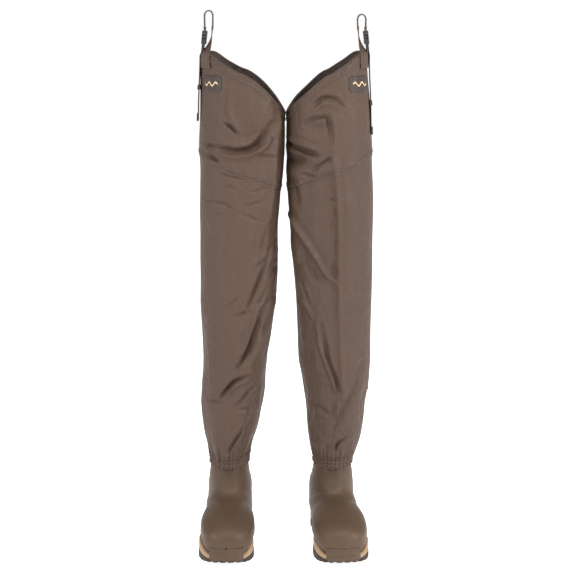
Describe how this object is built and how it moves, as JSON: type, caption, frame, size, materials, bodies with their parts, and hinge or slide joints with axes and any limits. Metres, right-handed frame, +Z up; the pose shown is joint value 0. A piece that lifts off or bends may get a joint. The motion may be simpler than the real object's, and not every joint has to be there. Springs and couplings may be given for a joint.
{
  "type": "hip waders",
  "caption": "Pair of brown fabric hip waders with insulated rubber boots, slanted hems, belt loops and side-release buckles at each hip.",
  "frame": {"origin": "centre of the pair's bounding box on the floor", "axes": "+Z up, toes to -Y, the wearer's left leg at +X"},
  "size_m": [0.3388, 0.3126, 1.042],
  "materials": {
    "outsole_rubber": "matt, moulded",
    "midsole_foam": "matt foam rubber",
    "boot_rubber": "satin, moulded",
    "steel": "plain",
    "board": "plain",
    "liner_fabric": "felted foam",
    "leg_fabric": "coated nylon, slight sheen",
    "dark_fabric": "coated nylon",
    "elastic": "woven elastic",
    "webbing": "woven nylon webbing",
    "buckle_plastic": "matt acetal",
    "badge_dark": "printed fabric",
    "badge_tan": "heat-set film"
  },
  "bodies": {
    "waders": {"left_outsole": "outsole_rubber", "left_midsole": "midsole_foam", "left_toe_guard": "boot_rubber", "left_heel_counter": "boot_rubber", "left_boot_upper": "boot_rubber", "left_shank": "steel", "left_insole_board": "board", "left_footbed": "liner_fabric", "left_boot_liner": "liner_fabric", "left_shaft_seal": "dark_fabric", "left_lower_leg": "leg_fabric", "left_thigh_panel": "leg_fabric", "left_knee_seam": "leg_fabric", "left_ankle_cuff": "leg_fabric", "left_ankle_elastic": "elastic", "left_hem_band": "leg_fabric", "left_hem_facing": "dark_fabric", "left_badge": "badge_dark", "left_badge_mark": "badge_tan", "left_hip_patch": "leg_fabric", "left_strap_tail": "webbing", "right_outsole": "outsole_rubber", "right_midsole": "midsole_foam", "right_toe_guard": "boot_rubber", "right_heel_counter": "boot_rubber", "right_boot_upper": "boot_rubber", "right_shank": "steel", "right_insole_board": "board", "right_footbed": "liner_fabric", "right_boot_liner": "liner_fabric", "right_shaft_seal": "dark_fabric", "right_lower_leg": "leg_fabric", "right_thigh_panel": "leg_fabric", "right_knee_seam": "leg_fabric", "right_ankle_cuff": "leg_fabric", "right_ankle_elastic": "elastic", "right_hem_band": "leg_fabric", "right_hem_facing": "dark_fabric", "right_badge": "badge_dark", "right_badge_mark": "badge_tan", "right_hip_patch": "leg_fabric", "right_strap_tail": "webbing"},
    "left_strap": {"left_hip_tab": "leg_fabric", "left_buckle_clip": "buckle_plastic", "left_anchor_web": "webbing"},
    "left_socket": {"left_belt_loop": "webbing", "left_buckle_socket": "buckle_plastic"},
    "left_front_prong": {"left_front_prong": "buckle_plastic"},
    "left_rear_prong": {"left_rear_prong": "buckle_plastic"},
    "left_keeper": {"left_tail_keeper": "buckle_plastic"},
    "right_strap": {"right_hip_tab": "leg_fabric", "right_buckle_clip": "buckle_plastic", "right_anchor_web": "webbing"},
    "right_socket": {"right_belt_loop": "webbing", "right_buckle_socket": "buckle_plastic"},
    "right_front_prong": {"right_front_prong": "buckle_plastic"},
    "right_rear_prong": {"right_rear_prong": "buckle_plastic"},
    "right_keeper": {"right_tail_keeper": "buckle_plastic"}
  },
  "joints": [
    {"name": "left_strap_fold", "type": "hinge", "parent": "waders", "child": "left_strap", "pos_m": [0.16119, 0.0339, 0.962], "axis": [0, 1, 0], "range_deg": [0, 120]},
    {"name": "left_buckle_release", "type": "slide", "parent": "left_strap", "child": "left_socket", "axis": [-0.1045, 0, 0.9945], "range_m": [0, 0.02], "deforming": ["left_front_prong", "left_rear_prong"]},
    {"name": "left_rear_prong_squeeze", "type": "hinge", "parent": "left_strap", "child": "left_rear_prong", "pos_m": [0.15412, 0.0435, 0.98092], "axis": [0.9945, 0, 0.1045], "range_deg": [0, 10], "stiffness_Nm_per_rad": 0.2, "deforming": ["left_rear_prong"]},
    {"name": "left_front_prong_squeeze", "type": "hinge", "parent": "left_strap", "child": "left_front_prong", "pos_m": [0.15412, 0.0243, 0.98092], "axis": [-0.9945, 0, -0.1045], "range_deg": [0, 10], "stiffness_Nm_per_rad": 0.2, "deforming": ["left_front_prong"]},
    {"name": "left_keeper_slide", "type": "slide", "parent": "waders", "child": "left_keeper", "axis": [0.04, 0, -0.9992], "range_m": [-0.015, 0.015]},
    {"name": "right_strap_fold", "type": "hinge", "parent": "waders", "child": "right_strap", "pos_m": [-0.16181, 0.0339, 0.962], "axis": [0, -1, 0], "range_deg": [0, 120]},
    {"name": "right_buckle_release", "type": "slide", "parent": "right_strap", "child": "right_socket", "axis": [0.1045, 0, 0.9945], "range_m": [0, 0.02], "deforming": ["right_front_prong", "right_rear_prong"]},
    {"name": "right_rear_prong_squeeze", "type": "hinge", "parent": "right_strap", "child": "right_rear_prong", "pos_m": [-0.15474, 0.0435, 0.98092], "axis": [0.9945, 0, -0.1045], "range_deg": [0, 10], "stiffness_Nm_per_rad": 0.2, "deforming": ["right_rear_prong"]},
    {"name": "right_front_prong_squeeze", "type": "hinge", "parent": "right_strap", "child": "right_front_prong", "pos_m": [-0.15474, 0.0243, 0.98092], "axis": [-0.9945, 0, 0.1045], "range_deg": [0, 10], "stiffness_Nm_per_rad": 0.2, "deforming": ["right_front_prong"]},
    {"name": "right_keeper_slide", "type": "slide", "parent": "waders", "child": "right_keeper", "axis": [-0.04, 0, -0.9992], "range_m": [-0.015, 0.015]}
  ]
}
